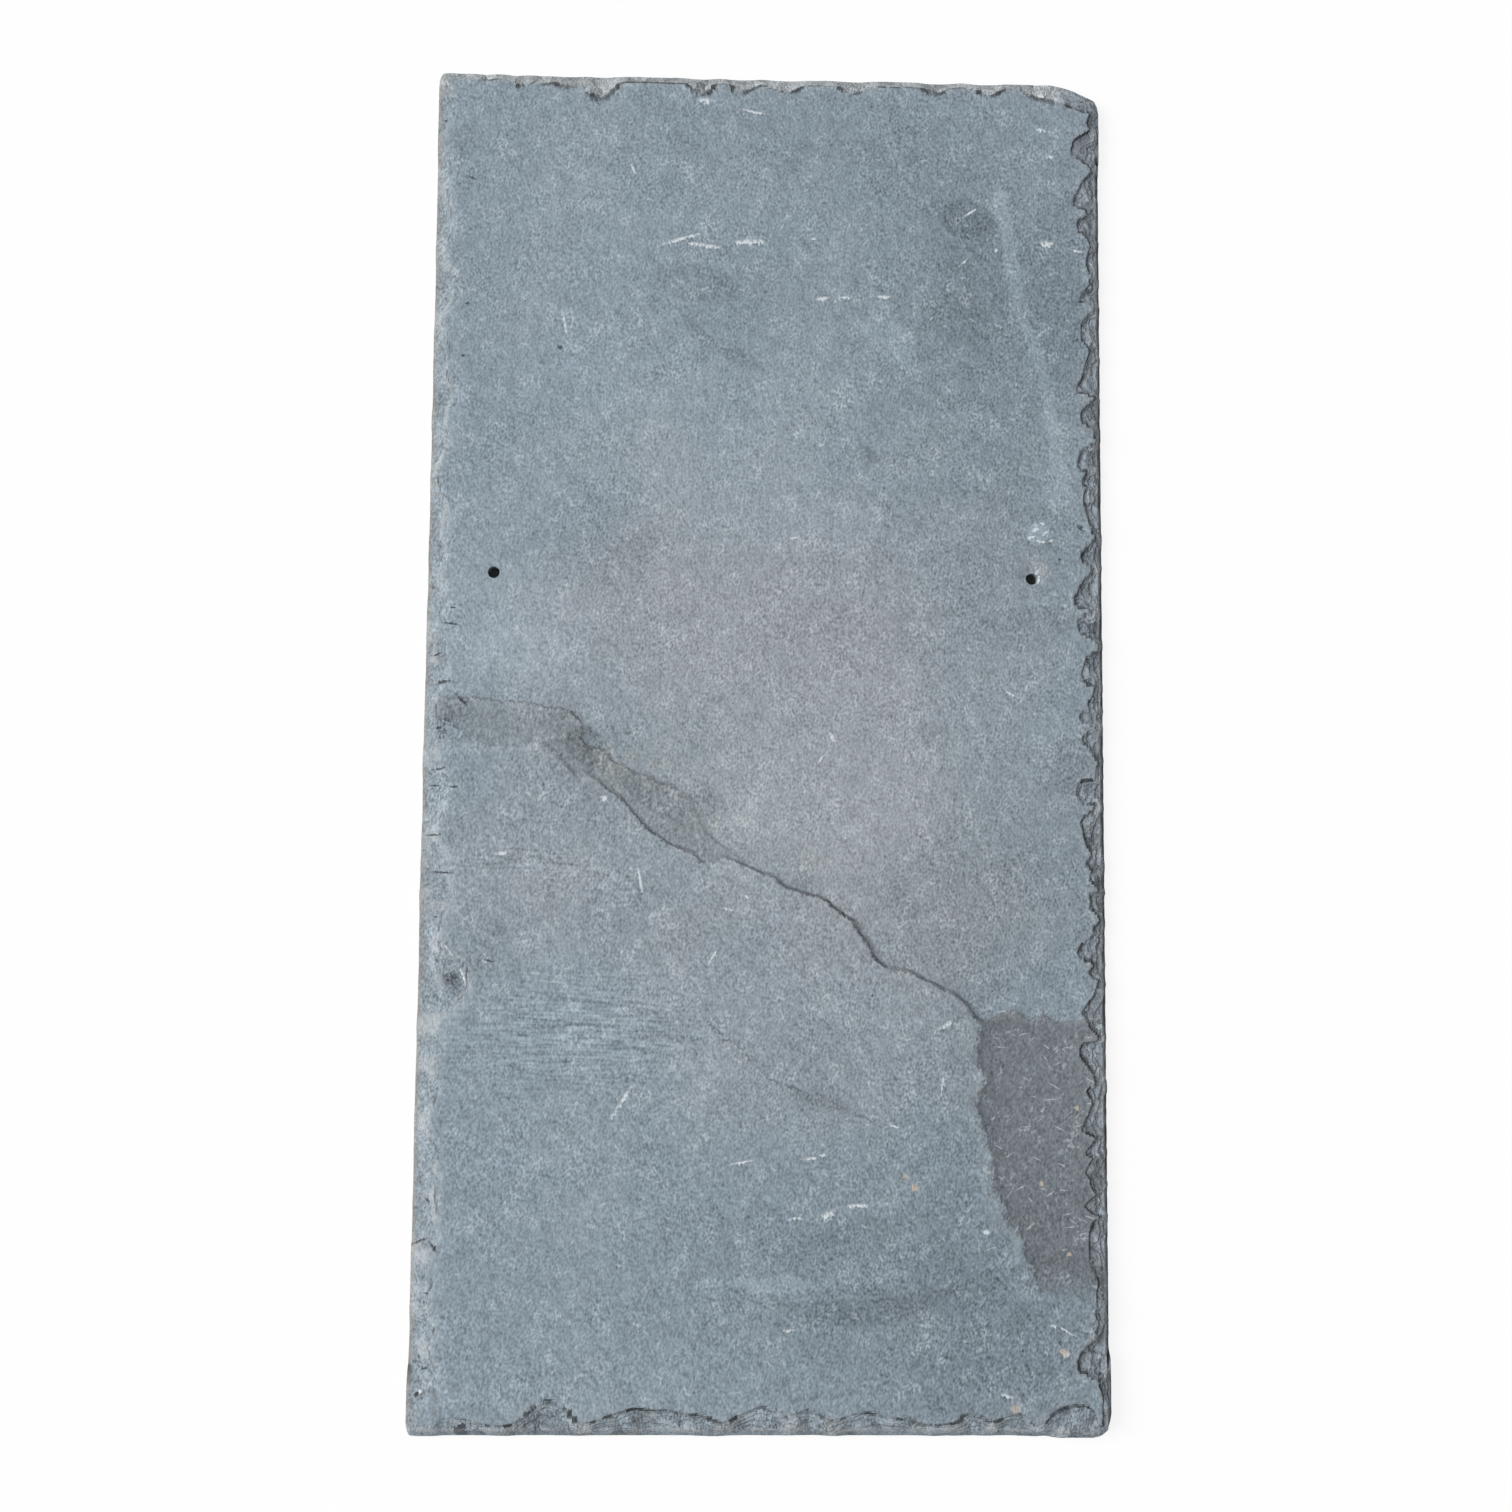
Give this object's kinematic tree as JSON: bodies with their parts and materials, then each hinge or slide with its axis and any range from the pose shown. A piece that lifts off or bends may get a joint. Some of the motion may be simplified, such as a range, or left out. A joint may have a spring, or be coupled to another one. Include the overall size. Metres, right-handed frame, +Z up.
{
  "type": "slate roof tile",
  "caption": "Flat rectangular roofing slate with a riven face, a broken cleavage ledge, hand-dressed flaked edges and punched nail holes; hung on battens to shed rain.",
  "frame": {"origin": "centre of the back face's outline, on the surface that the slate lies on", "axes": "+Z up out of the weathered face, +Y along the length towards the head, +X across the width"},
  "size_m": [0.254, 0.508, 0.007],
  "materials": {
    "slate": "matt riven blue-grey slate, fine streaky grain, paler and browner on the dressed edges"
  },
  "bodies": {
    "root": {"slate": "slate"}
  },
  "joints": []
}
